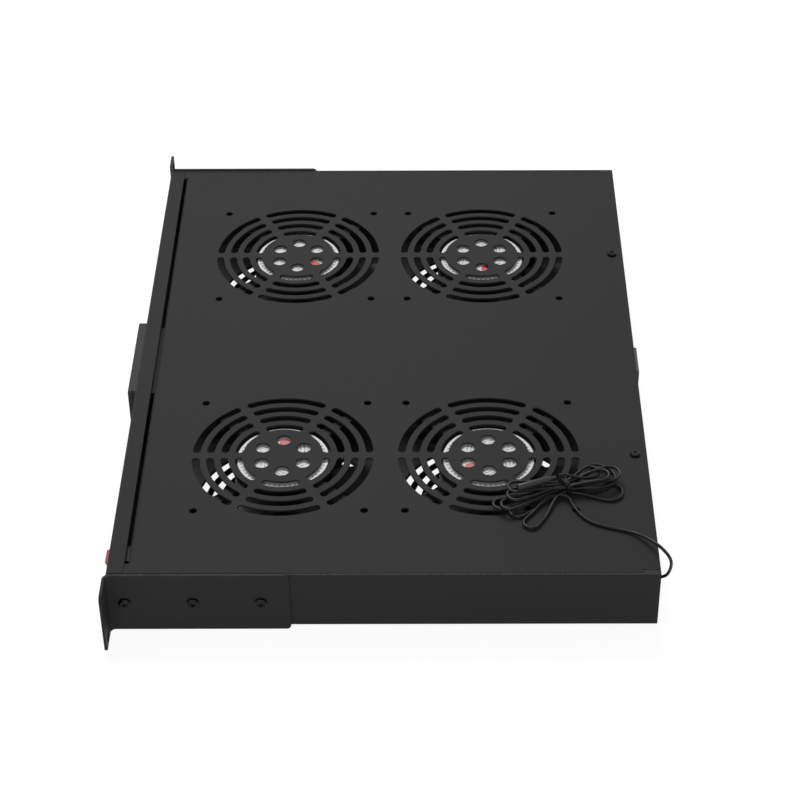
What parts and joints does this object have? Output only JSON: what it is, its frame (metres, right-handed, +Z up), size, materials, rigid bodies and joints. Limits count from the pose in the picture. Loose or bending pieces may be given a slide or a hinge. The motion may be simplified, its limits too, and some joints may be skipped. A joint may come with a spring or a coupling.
{
  "type": "rack fan tray",
  "caption": "Horizontal 19-inch rack fan tray: steel box with axial fans under pierced grilles, rack ears, thermostat with sensor lead, rocker switch and rear mains inlet.",
  "frame": {"origin": "centre of the rack mounting plane, which is the plane of the ears' rear faces, at mid height of the slot pattern", "axes": "+X to the right seen from the front, +Y to the rear of the rack, +Z up"},
  "size_m": [0.4826, 0.3485, 0.0565],
  "materials": {
    "steel_black": "fine textured powder coat",
    "screw_black": "black oxide",
    "zinc": "zinc plated",
    "fan_casting": "black enamel on a casting",
    "fan_plastic": "moulded",
    "stator_steel": "laminated",
    "shaft_steel": "ground",
    "label_foil": "matt silver foil",
    "terminal_plastic": "moulded",
    "bezel_plastic": "fine spark-eroded texture",
    "display_window": "dark red tint, polished",
    "button_plastic": "moulded",
    "board_green": "solder mask",
    "clip_plastic": "moulded",
    "switch_black": "moulded",
    "rocker_red": "translucent red",
    "brass": "plain",
    "inlet_black": "moulded",
    "wire_insulation": "extruded",
    "rubber_black": "smooth",
    "lead_black": "extruded, slight sheen"
  },
  "bodies": {
    "tray": {"base_tray": "steel_black", "top_cover": "steel_black", "rack_ear_left": "steel_black", "rack_ear_right": "steel_black", "cover_screws": "screw_black", "ear_screws": "screw_black", "fan_screws": "screw_black", "cover_nuts": "zinc", "ear_nuts": "zinc", "fan_nuts": "zinc", "earth_stud": "zinc", "earth_nut": "zinc", "fan_1_frame": "fan_casting", "fan_2_frame": "fan_casting", "fan_3_frame": "fan_casting", "fan_4_frame": "fan_casting", "fan_1_stator": "stator_steel", "fan_2_stator": "stator_steel", "fan_3_stator": "stator_steel", "fan_4_stator": "stator_steel", "fan_bearings": "shaft_steel", "fan_labels": "label_foil", "fan_terminals": "terminal_plastic", "thermostat_terminals": "terminal_plastic", "thermostat_housing": "bezel_plastic", "thermostat_window": "display_window", "thermostat_board": "board_green", "thermostat_clips": "clip_plastic", "switch_housing": "switch_black", "switch_spades": "brass", "inlet_pins": "brass", "inlet_housing": "inlet_black", "wiring_loom": "wire_insulation", "grommet": "rubber_black", "sensor_probe": "rubber_black", "sensor_lead": "lead_black", "sensor_hank": "lead_black", "cable_tie": "lead_black"},
    "fan_1_rotor_body": {"fan_1_rotor": "fan_plastic", "fan_1_shaft": "shaft_steel"},
    "fan_2_rotor_body": {"fan_2_rotor": "fan_plastic", "fan_2_shaft": "shaft_steel"},
    "fan_3_rotor_body": {"fan_3_rotor": "fan_plastic", "fan_3_shaft": "shaft_steel"},
    "fan_4_rotor_body": {"fan_4_rotor": "fan_plastic", "fan_4_shaft": "shaft_steel"},
    "rocker": {"switch_rocker": "rocker_red"},
    "key_set": {"button_set": "button_plastic"},
    "key_up": {"button_up": "button_plastic"},
    "key_power": {"button_power": "button_plastic"},
    "key_down": {"button_down": "button_plastic"}
  },
  "joints": [
    {"name": "fan_1_spin", "type": "hinge", "parent": "tray", "child": "fan_1_rotor_body", "pos_m": [-0.11, 0.1, 0], "axis": [0, 0, 1], "continuous": true},
    {"name": "fan_2_spin", "type": "hinge", "parent": "tray", "child": "fan_2_rotor_body", "pos_m": [0.11, 0.1, 0], "axis": [0, 0, 1], "continuous": true},
    {"name": "fan_3_spin", "type": "hinge", "parent": "tray", "child": "fan_3_rotor_body", "pos_m": [-0.11, 0.23, 0], "axis": [0, 0, 1], "continuous": true},
    {"name": "fan_4_spin", "type": "hinge", "parent": "tray", "child": "fan_4_rotor_body", "pos_m": [0.11, 0.23, 0], "axis": [0, 0, 1], "continuous": true},
    {"name": "rocker_tilt", "type": "hinge", "parent": "tray", "child": "rocker", "pos_m": [0.189, 0.0005, 0], "axis": [-1, 0, 0], "range_deg": [0, 20]},
    {"name": "set_press", "type": "slide", "parent": "tray", "child": "key_set", "axis": [0, 1, 0], "range_m": [0, 0.0005], "stiffness_N_per_m": 300, "springref_m": -0.0005},
    {"name": "up_press", "type": "slide", "parent": "tray", "child": "key_up", "axis": [0, 1, 0], "range_m": [0, 0.0005], "stiffness_N_per_m": 300, "springref_m": -0.0005},
    {"name": "power_press", "type": "slide", "parent": "tray", "child": "key_power", "axis": [0, 1, 0], "range_m": [0, 0.0005], "stiffness_N_per_m": 300, "springref_m": -0.0005},
    {"name": "down_press", "type": "slide", "parent": "tray", "child": "key_down", "axis": [0, 1, 0], "range_m": [0, 0.0005], "stiffness_N_per_m": 300, "springref_m": -0.0005}
  ]
}
